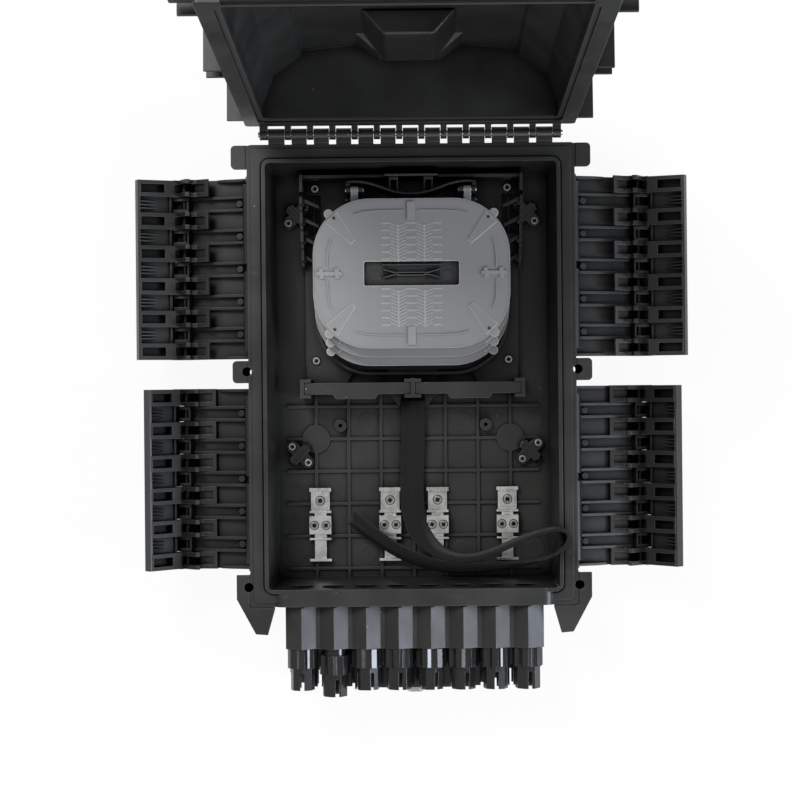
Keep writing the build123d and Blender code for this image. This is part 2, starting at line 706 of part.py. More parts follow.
# Tray holder: black moulding with a basin, hinge posts, side wings, a back wall and a front clip bar
def tray_holder():
    z0 = holder_z
    z1 = z0 + holder_t
    plate = slab(2 * holder_x, holder_y[1] - holder_y[0], 4, 0, sum(holder_y) / 2, z0, z1)
    basin_y = top_tray_y - tray_count * tray_shift
    basin = extrude(Pos(0, 0, z1 - 0.5) * tray_outline(basin_y, 0.5), amount=10)
    basin = basin - extrude(Pos(0, 0, z1 - 1) * tray_outline(basin_y, -1.5), amount=14)
    parts = [basin]
    back = block(-holder_x - 2, holder_x + 2, holder_y[1] - holder_wall, holder_y[1], z0, holder_top_z - 12)
    hump = prism_y([(-21, holder_top_z - 13), (-14, holder_top_z - 6), (14, holder_top_z - 6), (21, holder_top_z - 13)],
                   holder_y[1] - holder_wall, holder_y[1])
    parts += [back, hump]
    ladder = [(143, z0), (143, holder_top_z - 8), (131, holder_top_z - 8), (131, holder_top_z - 14)]
    for k in range(4):
        y = 127 - k * 12.9
        z = holder_top_z - 10 - k * 8.0
        ladder += [(y, z + 3), (y - 5, z + 3), (y - 5, z - 2), (y - 8.9, z - 2), (y - 8.9, z - 5)]
    ladder += [(74, z0)]
    wing = prism_x(ladder, holder_x, holder_x + holder_wall)
    parts.extend(both_sides(wing))
    for k in range(4):
        y = 127 - k * 12.9
        z = holder_top_z - 12 - k * 8.0
        shelf = [(holder_x + 0.5, y), (holder_x - 12 + k, y - 6), (holder_x - 12 + k, y - 8), (holder_x + 0.5, y - 3)]
        parts.extend(both_sides(prism_z(shelf, z - 8, z)))
        parts.extend(both_sides(prism_z([(p[0], p[1] - 0.0) for p in shelf], z0, z0 + 4)))
        leg = block(holder_x - 1.5, holder_x + 1, y - 6, y - 1, z0, z)
        parts.extend(both_sides(leg))
    for i in range(tray_count):
        py, pz = tray_hinge(i)
        for x in (-tray_lug_x, tray_lug_x):
            for side in (-1, 1):
                inner = x + side * (tray_lug_w / 2 + run_gap)
                x0, x1 = sorted((inner, inner + side * 3.2))
                post = prism_x([(py - 2.6, z0), (py - 2.6, pz + 1.0), (py - 1.2, pz + 2.9), (py + 1.2, pz + 2.9),
                                (py + 2.6, pz + 1.0), (py + 2.6, z0)], x0, x1)
                parts.append(post)
    holder = plate + parts
    for i in range(tray_count):
        py, pz = tray_hinge(i)
        holder = holder - rod_x(tray_pin_r + pin_play, -60, 60, py, pz)
    holder = holder + front_clip()
    holes = []
    for x in (-holder_screw_x, holder_screw_x):
        for y in (holder_screw_y, 136.0):
            holes.append(rod_z(1.8, z0 - 1, z1 + 1, x, y))
    holes.append(slab(27, 15, 2, -30, basin_y, z0 - 1, z1 + 1))
    holes.append(slab(27, 15, 2, 30, basin_y, z0 - 1, z1 + 1))
    holes.extend(both_sides(block(66, 84, 102.5, 131.5, z0 - 1, z0 + 9)))
    return holder - holes


bar_y = (-13.6, -5.4)
bar_z = (10.0, 34.0)
bar_half = 77.6


def front_clip():
    """Two brackets and a middle clip hold the retaining bars upright in front of the trays."""
    y0, y1 = bar_y
    z0, z1 = holder_z, bar_z[1] + 1.0
    parts = []
    for side in (-1, 1):
        parts.append(bracket(side, y0, y1, z0, z1))
        foot = [(side * 40, 8), (side * 77, 8), (side * 77, y0), (side * 52, y0)]
        if side < 0:
            foot = foot[::-1]
        parts.append(prism_z(foot, z0, z0 + holder_t))
    parts.append(block(-1.5, 1.5, y0 + 0.3, y1 + 3, z0, z1))
    parts.append(block(-6, 6, y1 + 0.4, y1 + 2.6, z0, z1))
    parts.append(block(-6, 6, y0 - 2.6, y0 - 0.4, z0, z1))
    parts.append(block(-1.5, 1.5, y0 - 2, y1 + 1, z0, z1))
    parts.append(prism_z([(-18, y0 - 1), (18, y0 - 1), (18, 10), (-18, 10)], z0, z0 + holder_t))
    ear_pts = [(-17, y0), (-8.8, y0), (-8.8, y0 - 8), (-11, y0 - 8)]
    parts.append(prism_z(ear_pts[::-1], z0, z0 + holder_t))
    parts.append(prism_z([(-x, y) for x, y in ear_pts], z0, z0 + holder_t))
    return parts


def bracket(side, y0, y1, z0, z1):
    xs = sorted((side * (bar_half + 0.4), side * (bar_half + 3.0)))
    xi = sorted((side * (bar_half - 4.5), side * (bar_half + 3.0)))
    spine = block(xs[0], xs[1], y0 - 2.6, y1 + 2.6, z0, z1)
    return spine + [block(xi[0], xi[1], y1 + 0.4, y1 + 2.6, z0, z1), block(xi[0], xi[1], y0 - 2.6, y0 - 0.4, z0, z1)]


def retaining_bars():
    y0, y1 = bar_y
    z0 = holder_z + holder_t + 0.3
    for name, side in (("left", -1), ("right", 1)):
        x0, x1 = sorted((side * 2.0, side * bar_half))
        bar = block(x0, x1, y0, y1, z0, bar_z[1])
        hollow = block(x0 + 2, x1 - 2, y0 + 1.6, y1 - 1.6, z0 - 1, bar_z[1] - 1.6)
        lip = prism_z([(side * 24, y0 + 0.5), (side * 58, y0 + 0.5), (side * 55, y0 - 3.4), (side * 27, y0 - 3.4)][::-side],
                      bar_z[1] - 4, bar_z[1])
        save(name + "_retaining_bar", bar - hollow + lip)


# Screws, clamps and saddles on the floor
def screw(x, y, seat_z, head_r, depth):
    head = rod_z(head_r, seat_z, seat_z + 1.9, x, y)
    shank = rod_z(head_r * 0.48, seat_z - depth, seat_z + 1, x, y)
    cross = [block(-head_r * 0.62, head_r * 0.62, -0.35, 0.35, seat_z + 1.0, seat_z + 3),
             block(-0.35, 0.35, -head_r * 0.62, head_r * 0.62, seat_z + 1.0, seat_z + 3)]
    return head + shank - [Pos(x, y, 0) * Rot(0, 0, 30) * c for c in cross]


def holder_screws():
    seat = holder_z + holder_t
    places = [(-holder_screw_x, holder_screw_y), (holder_screw_x, holder_screw_y),
              (-holder_screw_x, 136.0), (holder_screw_x, 136.0)]
    return [screw(x, y, seat, 2.7, holder_t - 0.2) for x, y in places]


def cable_clamps():
    """Stamped steel anchors: a long plate, a square top block and a two-screw saddle on each."""
    plates, blocks_, saddles, screws = [], [], [], []
    y = clamp_top_y
    z = clamp_z
    for x in clamp_x:
        half = clamp_w / 2
        stem = block(x - 4.3, x + 4.3, y - 52, y, z, z + clamp_t)
        bars = [block(x - half, x + half, y - 2.8, y, z, z + 3.4), block(x - half, x + half, y - 18.4, y - 16.6, z, z + 3.4),
                block(x - half, x + half, y - 38, y - 36.4, z, z + 3.4), block(x - half, x + half, y - 53.6, y - 51.6, z, z + 3.4)]
        wide = block(x - 6.9, x + 6.9, y - 16.8, y - 2, z, z + clamp_t)
        plate = stem + bars + [wide, block(x - half, x + half, y - 34.0, y - 20.4, z, z + clamp_t)]
        plate = plate - [rod_z(1.5, z - 1, z + 4, x, y - 9.2), rod_z(1.4, z - 1, z + 4, x - 4.2, y - 27.0),
                         rod_z(1.4, z - 1, z + 4, x + 4.2, y - 27.0)]
        plates.append(plate)
        top = block(x - 5.6, x + 5.6, y - 15, y - 3.6, z + clamp_t, z + clamp_t + 2.2)
        blocks_.append(top - rod_z(1.5, z, z + 9, x, y - 9.2))
        lug_top = z + clamp_t + 4.4
        saddle = block(x - half, x + half, y - 33.6, y - 20.6, z + clamp_t, lug_top)
        saddle = saddle - block(x - 2.2, x + 2.2, y - 40, y - 10, z, lug_top - 1.4)
        saddle = saddle - [rod_z(1.4, z, lug_top + 1, x - 4.2, y - 27.0), rod_z(1.4, z, lug_top + 1, x + 4.2, y - 27.0)]
        saddles.append(saddle)
        screws.append(screw(x, y - 9.2, z + clamp_t + 2.2, 3.0, clamp_t + 2.0))
        screws.append(screw(x - 4.2, y - 27.0, lug_top, 2.8, 5.6))
        screws.append(screw(x + 4.2, y - 27.0, lug_top, 2.8, 5.6))
    save("clamp_plates", plates)
    save("clamp_blocks", blocks_)
    save("clamp_saddles", saddles)
    save("clamp_screws", screws)


def tie_saddles():
    z = floor_t + rib_h
    saddles, screws = [], []
    for x, y, turn in saddle_places:
        def put(shape, x=x, y=y, turn=turn):
            return Pos(x, y, 0) * Rot(0, 0, turn) * shape
        base = slab(24, 8.4, 4.1, 0, 0, z, z + 2.4)
        arch = prism_x([(-9.5, z), (-9.5, z + 4), (-7.5, z + 7.5), (7.5, z + 7.5), (9.5, z + 4), (9.5, z), (6.6, z),
                        (5.4, z + 4.6), (-5.4, z + 4.6), (-6.6, z)], -3.4, 3.4)
        shape = base + arch - [rod_z(1.5, z - 1, z + 5, -8.2, 0), rod_z(1.5, z - 1, z + 5, 8.2, 0)]
        shape = shape - block(-1.6, 1.6, -20, 20, z + 5.6, z + 9)
        saddles.append(put(shape))
        screws.append(put(screw(-8.2, 0, z + 2.4, 2.6, 2.2)))
        screws.append(put(screw(8.2, 0, z + 2.4, 2.6, 2.2)))
    save("tie_saddles", saddles)
    save("tie_saddle_screws", screws)


# Hook-and-loop strap: it leaves the middle clip, runs down the floor, turns on edge and loops round
def strap():
    run_z = holder_z + holder_t + 0.2
    flat = block(-strap_w / 2, strap_w / 2, -98, -19, run_z + 0.5, run_z + 0.5 + strap_t)
    edge_z = (run_z + 5.4, run_z + 5.4 + 15.0)
    points = [(2, -97), (8, -110), (24, -118.5), (46, -119.5), (68, -114.5), (84, -108.5), (92.5, -108.5), (94, -114),
              (87, -119), (68, -123.5), (44, -127), (20, -127.5), (0, -122), (-14, -112), (-36, -98)]
    ribbon = extrude(Pos(0, 0, edge_z[0]) * trace(Spline(*points), line_width=strap_t), amount=edge_z[1] - edge_z[0])
    turn = block(0.4, 3.6, -99, -95, run_z + 0.5, edge_z[1])
    return flat + ribbon + turn


os.makedirs("parts", exist_ok=True)
save("base_shell", base_shell())
save("hinge_pin", hinge_pin())
save("latch_base_pins", latch_base_pins())
latches()
save("lid_shell", swung(lid_shell()))
save("lid_gasket", swung(lid_gasket()))
save("gland_bodies", gland_bodies())
gland_nuts()
oval_clamp()
for i in range(tray_count):
    save("splice_tray_" + str(i + 1), splice_tray(i))
    save("tray_cover_" + str(i + 1), tray_cover(i))
save("tray_hinge_pins", tray_pins())
save("tray_holder", tray_holder())
retaining_bars()
save("holder_screws", holder_screws())
cable_clamps()
tie_saddles()
save("tray_strap", strap())
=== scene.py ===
import bmesh
import bpy
from math import cos, pi, radians, sin
from mathutils import Matrix, Vector


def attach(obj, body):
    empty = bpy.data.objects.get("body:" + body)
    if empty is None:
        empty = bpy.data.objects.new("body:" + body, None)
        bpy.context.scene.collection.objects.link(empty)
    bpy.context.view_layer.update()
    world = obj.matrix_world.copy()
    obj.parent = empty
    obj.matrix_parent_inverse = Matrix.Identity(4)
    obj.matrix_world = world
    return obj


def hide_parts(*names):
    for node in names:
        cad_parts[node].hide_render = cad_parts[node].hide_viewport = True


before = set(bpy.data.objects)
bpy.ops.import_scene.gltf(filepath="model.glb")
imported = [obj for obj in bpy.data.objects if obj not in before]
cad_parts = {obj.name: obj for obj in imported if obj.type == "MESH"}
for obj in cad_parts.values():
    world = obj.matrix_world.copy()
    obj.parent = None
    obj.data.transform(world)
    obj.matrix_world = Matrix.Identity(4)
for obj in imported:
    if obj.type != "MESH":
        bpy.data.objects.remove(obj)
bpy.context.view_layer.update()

# Camera straight above the open box, a little right of the middle, as a long portrait lens sees it.
# The base lies on its back on a white table, so the lid rises towards the lens and grows larger.
# The focal length and the shifts are in image pixels.
lens_height = 1.372
rim_height = 0.066
image_size = 800
focal_length = 1960
shift_right, shift_up = -17, -15
sensor = 36
camera_turn = -0.53
camera_data = bpy.data.cameras.new("overhead_lens")
camera_data.lens = focal_length / image_size * sensor
camera_data.sensor_width = sensor
camera_data.shift_x = shift_right / image_size
camera_data.shift_y = shift_up / image_size
camera_data.clip_start = 0.05
camera_data.clip_end = 30
camera = bpy.data.objects.new("overhead_camera", camera_data)
camera.location = (0.0031, -0.00735, rim_height + lens_height)
camera.rotation_euler = (0, 0, radians(camera_turn))
bpy.context.scene.collection.objects.link(camera)
bpy.context.scene.camera = camera
bpy.context.scene.view_settings.view_transform = "Standard"


# Materials are written as sums and products of sockets: this wraps one socket,
# and the finish that owns it adds the nodes.
class Wire:
    def __init__(self, finish, socket):
        self.finish = finish
        self.socket = socket

    def math(self, operation, first, second):
        return self.finish.make("ShaderNodeMath", {"operation": operation}, {0: first, 1: second})

    def __add__(self, other):
        return self.math("ADD", self, other)

    __radd__ = __add__

    def __mul__(self, other):
        return self.math("MULTIPLY", self, other)

    __rmul__ = __mul__

    def __rsub__(self, other):
        return self.math("SUBTRACT", other, self)

    def __gt__(self, other):
        return self.math("GREATER_THAN", self, other)

    def __lt__(self, other):
        return self.math("LESS_THAN", self, other)


class Finish:
    def __init__(self, name):
        self.material = bpy.data.materials.new(name)
        self.material.use_nodes = True
        self.tree = self.material.node_tree
        self.tree.nodes.clear()
        self.place = self.make("ShaderNodeTexCoord", out="Object")

    def make(self, kind, settings=None, sockets=None, out=0):
        node = self.tree.nodes.new(kind)
        for key, value in (settings or {}).items():
            if key == "stops":
                for stop, (at, shade) in zip(node.color_ramp.elements, value):
                    stop.position = at
                    stop.color = (shade, shade, shade, 1)
            else:
                setattr(node, key, value)
        for key, value in (sockets or {}).items():
            if isinstance(value, Wire):
                self.tree.links.new(value.socket, node.inputs[key])
            else:
                node.inputs[key].default_value = value
        return Wire(self, node.outputs[out])

    def noise(self, scale, detail=2.0, rough=0.5, stretch=None):
        place = self.place
        if stretch:
            place = self.make("ShaderNodeMapping", None, {"Vector": place, "Scale": stretch}, "Vector")
        return self.make("ShaderNodeTexNoise", None,
                         {"Vector": place, "Scale": scale, "Detail": detail, "Roughness": rough}, "Fac")

    def ramp(self, value, low, high):
        return self.make("ShaderNodeMapRange", {"clamp": True}, {0: value, 1: low, 2: high, 3: 0.0, 4: 1.0})

    def mix(self, share, *shades):
        """The first colour where share is 0 and the second where it is 1; inputs 6 and 7 are the colours."""
        low, high = [(*shade, 1) if isinstance(shade, tuple) else shade for shade in shades]
        return self.make("ShaderNodeMix", {"data_type": "RGBA"}, {"Factor": share, 6: low, 7: high}, 2)

    def specks(self, scale, size, share):
        """Small dots, one in some of the cells of a Voronoi pattern."""
        cells = {"Vector": self.place, "Scale": scale}
        near = self.make("ShaderNodeTexVoronoi", None, cells, "Distance")
        shade = self.make("ShaderNodeTexVoronoi", None, cells, "Color")
        pick = self.make("ShaderNodeSeparateColor", None, {0: shade}, 0)
        grow = self.make("ShaderNodeSeparateColor", None, {0: shade}, 1)
        return (near < size * grow) * (pick > 1 - share)

    def bump(self, height, strength, distance, edge=0.0005):
        """Fine relief over edges that are rounded a little, as every moulded or stamped edge is."""
        round_edge = self.make("ShaderNodeBevel", {"samples": 6}, {"Radius": edge})
        relief = {"Height": height, "Strength": strength, "Distance": distance, "Normal": round_edge}
        return self.make("ShaderNodeBump", None, relief, "Normal")

    def edges(self, radius):
        """1 along the edges and 0 on the flats: the mask for painted edge highlights, and for painted edge
        shade on steel.
        """
        rounded = self.make("ShaderNodeBevel", {"samples": 6}, {"Radius": radius})
        flat = self.make("ShaderNodeNewGeometry", out="Normal")
        same = self.make("ShaderNodeVectorMath", {"operation": "DOT_PRODUCT"}, {0: rounded, 1: flat}, "Value")
        return self.ramp(1 - same, 0.01, 0.2)

    def open_to_light(self, reach):
        """1 on open faces, falling in pockets and corners: the mask for the shade painted into them."""
        return self.make("ShaderNodeAmbientOcclusion", {"samples": 8}, {"Distance": reach}, "AO")

    def close(self, sockets):
        body = self.make("ShaderNodeBsdfPrincipled", None, sockets)
        out = self.tree.nodes.new("ShaderNodeOutputMaterial")
        self.tree.links.new(body.socket, out.inputs["Surface"])
        return self.material


# Base, lid, tray holder and the bars in front of the trays: black glass-filled polypropylene.
# It is moulded with a fine spark texture, a little mottled and carries dust; it is paler along its edges with
# a painted highlight, and darker in its pockets and corners with painted shade.
def moulded_black(name, dark, pale, gloss, dust=0.0):
    """Black plastic between two near-black tints, with a base roughness and an amount of dust."""
    scuffed = (pale[0] * 2.2, pale[1] * 2.2, pale[2] * 2.2)
    dust_grey = (0.32, 0.32, 0.31)
    painted_edge_highlight = (0.1, 0.102, 0.103)
    painted_pocket_shade = (0.002, 0.002, 0.002)
    f = Finish(name)
    cloud = f.ramp(f.noise(26, 4), 0.35, 0.7)
    flow = f.ramp(f.noise(9, 3, 0.6, (1, 0.25, 1)), 0.4, 0.75)
    grain = f.noise(1900, 2)
    scuff = f.ramp(f.noise(70, 5, 0.7, (1, 3, 1)), 0.63, 0.72)
    colour = f.mix(cloud * 0.6 + flow * 0.4, dark, pale)
    colour = f.mix(scuff * 0.25, colour, scuffed)
    if dust:
        spots = f.specks(95, 0.05, 0.16 * dust) + f.specks(210, 0.09, 0.05 * dust)
        colour = f.mix(f.ramp(spots, 0, 1), colour, dust_grey)
    # Painted highlight: the edges are paled as if they caught the lamps.
    colour = f.mix(f.edges(0.0008) * (0.35 + 0.5 * cloud), colour, painted_edge_highlight)
    # Painted shade: pockets and corners are darkened towards near-black.
    lit = f.ramp(f.open_to_light(0.012), 0.25, 0.85)
    colour = f.mix(lit, painted_pocket_shade, colour)
    rough = gloss + 0.12 * cloud + 0.1 * scuff
    normal = f.bump(grain, 0.35, 0.00012)
    return f.close({"Base Color": colour, "Roughness": rough, "Normal": normal,
                    "Specular IOR Level": 0.08 + 0.47 * lit})


black = moulded_black("spark_textured_polypropylene", (0.011, 0.0113, 0.011), (0.023, 0.0236, 0.023),
                      gloss=0.36, dust=1.4)


def dress(names, material):
    """Give CAD nodes their finish."""
    for name in names:
        node = bpy.data.objects[name]
        for place in node.material_slots:
            place.material = material


dress(["base_shell", "lid_shell", "tray_holder", "left_retaining_bar", "right_retaining_bar"], black)

# The four side latches, moulded in the same black but cleaner. Each arm is a ribbed plate with two
# long barrels and five pocketed frames; each lever has six jaws that hook on the bead of the lid and
# a wide handle with framed pockets. Drawn in mm as with the box shut, then swung out on their pins.
black_clean = moulded_black("clean_black_polypropylene", (0.011, 0.0113, 0.0112), (0.019, 0.0195, 0.0193),
                            gloss=0.32, dust=0.3)
pin_one = (114.0, 56.0)
pin_two = (126.0, 108.6)
bead = (121.0, 95.0)
latch_half = 64.0
row_pitch = 23.25
arm_row_half = 5.4
lever_row_half = 6.08
pocket_half = 3.1
arm_face = 128.4
arm_back = 131.0
handle_angle = 149.0
handle_reach = 35.4
swing_out = 103.5
handle_slack = {"upper": 21.5, "lower": 0.0}
latch_centre = {"upper": 76.2, "lower": -73.0}
pin_hole = 2.15
past_ends = 80
frame_wall = 1.9


def add_prism(bm, outline, start, end, axis="y"):
    """A closed outline in two directions of the box, carried along the third, in mm."""
    spots = [{"x": (start, a, b), "y": (a, start, b), "z": (a, b, start)}[axis] for a, b in outline]
    face = bm.faces.new([bm.verts.new((x / 1000, y / 1000, z / 1000)) for x, y, z in spots])
    grown = bmesh.ops.extrude_face_region(bm, geom=[face])
    shift = [(end - start) / 1000 if name == axis else 0 for name in "xyz"]
    bmesh.ops.translate(bm, vec=shift, verts=[v for v in grown["geom"] if isinstance(v, bmesh.types.BMVert)])


def round_outline(centre, radius, steps=28):
    return [(centre[0] + radius * cos(2 * pi * k / steps), centre[1] + radius * sin(2 * pi * k / steps))
            for k in range(steps)]


def box_outline(x0, x1, z0, z1):
    return [(x0, z0), (x1, z0), (x1, z1), (x0, z1)]


def moulded_mesh(name, solids, pockets):
    """Joins the solids, cuts the pockets out of them and gives back one mesh."""
    pair = []
    for part, prisms in (("body", solids), ("cutter", pockets)):
        bm = bmesh.new()
        for prism in prisms:
            add_prism(bm, *prism)
        bmesh.ops.recalc_face_normals(bm, faces=bm.faces)
        mesh = bpy.data.meshes.new(name + "_" + part)
        bm.to_mesh(mesh)
        bm.free()
        pair.append(bpy.data.objects.new(name + "_" + part, mesh))
        bpy.context.scene.collection.objects.link(pair[-1])
    body, cutter = pair
    cut = body.modifiers.new("pockets", "BOOLEAN")
    cut.operation = "DIFFERENCE"
    cut.solver = "EXACT"
    cut.use_self = True
    cut.object = cutter
    bpy.context.view_layer.update()
    result = bpy.data.meshes.new_from_object(body.evaluated_get(bpy.context.evaluated_depsgraph_get()))
    bpy.data.objects.remove(body)
    bpy.data.objects.remove(cutter)
    return result


def rows(count):
    """The middles of evenly spaced rows along a latch."""
    return [row_pitch * (k - (count - 1) / 2) for k in range(count)]


def arm_mesh():
    x1, z1 = pin_one
    x2, z2 = pin_two
    top = z2 - 5.4
    foot = 116.8
    web = [(x1 + 9.2, z1 + 1.5), (arm_back, z1 + 1.5), (arm_back, top), (arm_face, top), (arm_face, z1 + 6.2),
           (x1 + 9.2, z1 + 5)]
    heel = [(x1 - 1.5, z1 - 6.5), (x1 + 6, z1 - 6.5), (arm_back, z1 + 3), (arm_back, z1 + 8),
            (arm_face, z1 + 8), (x1 + 5, z1 - 3.3), (x1 - 1.5, z1 - 3.3)]
    heel_fin = [(x1 + 1, z1 + 3.5), (x1 + 6, z1 - 2), (arm_face + 0.5, z1 + 6), (arm_face + 0.5, z1 + 9)]
    solids = [(web, -latch_half, latch_half)]
    for start, end in ((-58.7, -2.8), (2.8, 58.7)):
        solids.append((heel, start, end))
        solids.append((round_outline(pin_one, 4.4), start, end))
        solids.append((box_outline(x1 - 1.5, x1 + 2.5, z1 - 6, z1 - 2.5), start, end))
        for k in range(4):
            fin = start + 8 + k * 13
            solids.append((heel_fin, fin - 0.8, fin + 0.8))
    rib = [(foot + 5.5, z1 + 2), (arm_face + 0.2, z1 + 2), (arm_face + 0.2, top), (bead[0] + 4.8, top),
           (foot + 7, z1 + 20)]
    screen = [(arm_back - 0.2, top - 4), (arm_back + 1.4, top - 4), (arm_back + 1.4, z2 + 0.5),
              (arm_back + 0.5, z2 + 0.5), (arm_back + 0.5, top), (arm_back - 0.2, top)]
    solids.append((screen, -latch_half, latch_half))
    pocket_frame = [(arm_back, top - 3), (x2 + 3.8, z2 - 1), (x2 + 3.8, z2 + 7.5), (x2 + 2.6, z2 + 9),
                    (x2 - 2.6, z2 + 9), (x2 - 3.8, z2 + 7.5), (x2 - 3.8, z2 - 4.1), (arm_face, z2 - 5.5),
                    (arm_face, top - 3)]
    frame_pocket = box_outline(x2 - 6, x2 + 2.5, z2 - 3, z2 + 7.4)
    pockets = [(round_outline(pin_one, pin_hole), -past_ends, past_ends)]
    for row in rows(5):
        for side in (row - arm_row_half, row + arm_row_half - frame_wall):
            solids.append((rib, side, side + frame_wall))
        solids.append((round_outline((row, z1 + 11), 2.3, 20), arm_face - 3.4, arm_face + 0.3, "x"))
        solids.append((pocket_frame, row - arm_row_half, row + arm_row_half))
        pockets.append((frame_pocket, row - pocket_half, row + pocket_half))
    end_rib = [(foot + 5.5, z1 + 2), (arm_face + 0.2, z1 + 2), (arm_face + 0.2, z1 + 28.5),
               (arm_face - 2.2, z1 + 27), (foot + 7, z1 + 20)]
    for start in (-latch_half, latch_half - frame_wall):
        solids.append((end_rib, start, start + frame_wall))
    lug_gap = box_outline(x1 - 12, x1 + 8.6, z1 - 12, z1 + 6)
    for place in (-61.5, 0, 61.5):
        pockets.append((lug_gap, place - 2.8, place + 2.8))
    return moulded_mesh("latch_arm", solids, pockets)


def lever_mesh():
    x2, z2 = pin_two
    bx, bz = bead
    ux, uz = cos(radians(handle_angle)), sin(radians(handle_angle))

    def along(reach, height):
        """A point of the handle, by its reach from the pin and its height away from the lid."""
        return (x2 + reach * ux + height * uz, z2 + reach * uz - height * ux)

    seat_radius = 3.45
    seat = [(bx + seat_radius * cos(radians(a)), bz + seat_radius * sin(radians(a)))
            for a in range(0, 151, 15)]
    jaw = [(x2 + 4.6, z2 + 1), (x2 + 4.4, z2 - 2.4), (x2 + 1.9, z2 - 5), (bx + 6.6, bz + 6),
           (bx + 6.5, bz - 7.2), (bx + 5.3, bz - 9.2), (bx + 3.9, bz - 8.9), (bx + 3.5, bz - 2)] + seat
    jaw += [(bx - 4.6, bz + 1), (bx - 6.2, bz + 3.2), (x2 - 8.4, z2 - 4.6), (x2 - 5, z2 + 1.5),
            (x2 - 2.4, z2 + 4.4), (x2 + 2.4, z2 + 4.4)]
    jaw_pocket = [(x2 - 14, bz - 6.4), (bx + 5.3, bz - 6.4), (bx + 5.3, bz + 4), (x2 + 3, z2 - 3),
                  (x2 + 3, z2 + 1.6), (x2 - 14, z2 + 1.6)]
    low, skin, thick = -3.2, 1.6, 2.2
    tip = handle_reach - 1.8
    plate = [along(6, skin), along(handle_reach, skin), along(handle_reach, skin + thick),
             along(6, skin + thick)]
    lip = [along(tip, low + 0.4), along(handle_reach, low + 0.8), along(handle_reach, skin + 1),
           along(tip, skin + 1)]
    solids = [(plate, -latch_half, latch_half), (lip, -latch_half, latch_half)]
    neck = [along(0, 1), along(4.6, low + 0.6), along(9, low), along(9, skin + thick), along(2, 4.4)]
    rim = [along(8, low), along(tip + 0.5, low), along(tip + 0.5, skin + 0.5), along(8, skin + 0.5)]
    fin = [along(19, skin + 0.3), along(tip + 0.5, low + 1), along(tip + 0.5, skin + 0.3)]
    dish = [along(15.8, low - 1), along(tip - 0.6, low - 1), along(tip - 0.6, skin + 1),
            along(15.8, skin + 1)]
    arch = [(x2 + r * cos(radians(a)), z2 + r * sin(radians(a)))
            for r, turn in ((9.75, 1), (11.3, -1)) for a in list(range(50, 151, 10))[::turn]]
    pockets = [(round_outline(pin_two, pin_hole), -past_ends, past_ends)]
    for row in rows(6):
        solids.append((jaw, row - lever_row_half, row + lever_row_half))
        solids.append((neck, row - lever_row_half, row + lever_row_half))
        solids.append((rim, row - lever_row_half + 0.3, row + lever_row_half - 0.3))
        pockets.append((dish, row - pocket_half, row + pocket_half))
        pockets.append((jaw_pocket, row - pocket_half, row + pocket_half))
    for row in rows(5):
        for step in (-2.4, 0, 2.4):
            solids.append((fin, row + step - 0.45, row + step + 0.45))
        pockets.append((round_outline(pin_two, 9.7, 48), row - arm_row_half - 0.3, row + arm_row_half + 0.3))
        solids.append((arch, row - 6, row + 6))
    return moulded_mesh("latch_lever", solids, pockets)


def about_y(point, angle):
    """A turn about a line that runs along the box through a point of its cross section."""
    at = Matrix.Translation((point[0] / 1000, 0, point[1] / 1000))
    return at @ Matrix.Rotation(radians(angle), 4, "Y") @ at.inverted()


shapes = {"arm": arm_mesh(), "lever": lever_mesh()}
for side in ("left", "right"):
    for level in ("upper", "lower"):
        place = side + "_" + level
        half_turn = Matrix.Rotation(pi, 4, "Z") if side == "left" else Matrix.Identity(4)
        middle = Matrix.Translation((0, latch_centre[level] / 1000, 0))
        rest = middle @ half_turn @ about_y(pin_one, swing_out)
        for part, mesh in shapes.items():
            mesh = mesh.copy()
            slack = handle_slack[level] if part == "lever" else 0
            mesh.transform(rest @ about_y(pin_two, slack))
            mesh.materials.append(black_clean)
            piece = bpy.data.objects.new("side_latch_" + part + "_" + place, mesh)
            bpy.context.scene.collection.objects.link(piece)
            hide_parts(place + "_latch_" + part)
            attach(piece, place + "_latch_" + part + "_body")


def add_piece(name, prisms, material, body, soft_edge=0.0, lean=0.0):
    """A small moulded piece from prisms, its edges rounded by soft_edge, leaning back above lean_foot."""
    lean_foot = 0.11
    bm = bmesh.new()
    for prism in prisms:
        add_prism(bm, *prism)
    bmesh.ops.recalc_face_normals(bm, faces=bm.faces)
    for vert in bm.verts:
        vert.co.y += lean * (vert.co.z - lean_foot)
    mesh = bpy.data.meshes.new(name)
    bm.to_mesh(mesh)
    bm.free()
    mesh.materials.append(material)
    piece = bpy.data.objects.new(name, mesh)
    bpy.context.scene.collection.objects.link(piece)
    if soft_edge:
        rounding = piece.modifiers.new("soft_edges", "BEVEL")
        rounding.width = soft_edge
        rounding.segments = 3
    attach(piece, body)
    return piece


def band(line, width, start, end):
    """An upright wall that follows a line of points on the floor plan."""
    return [([a, b, (b[0], b[1] + width), (a[0], a[1] + width)], start, end, "z")
            for a, b in zip(line, line[1:])]


def plan_box(x0, x1, y0, y1, z0, z1):
    return (box_outline(x0, x1, y0, y1), z0, z1, "z")


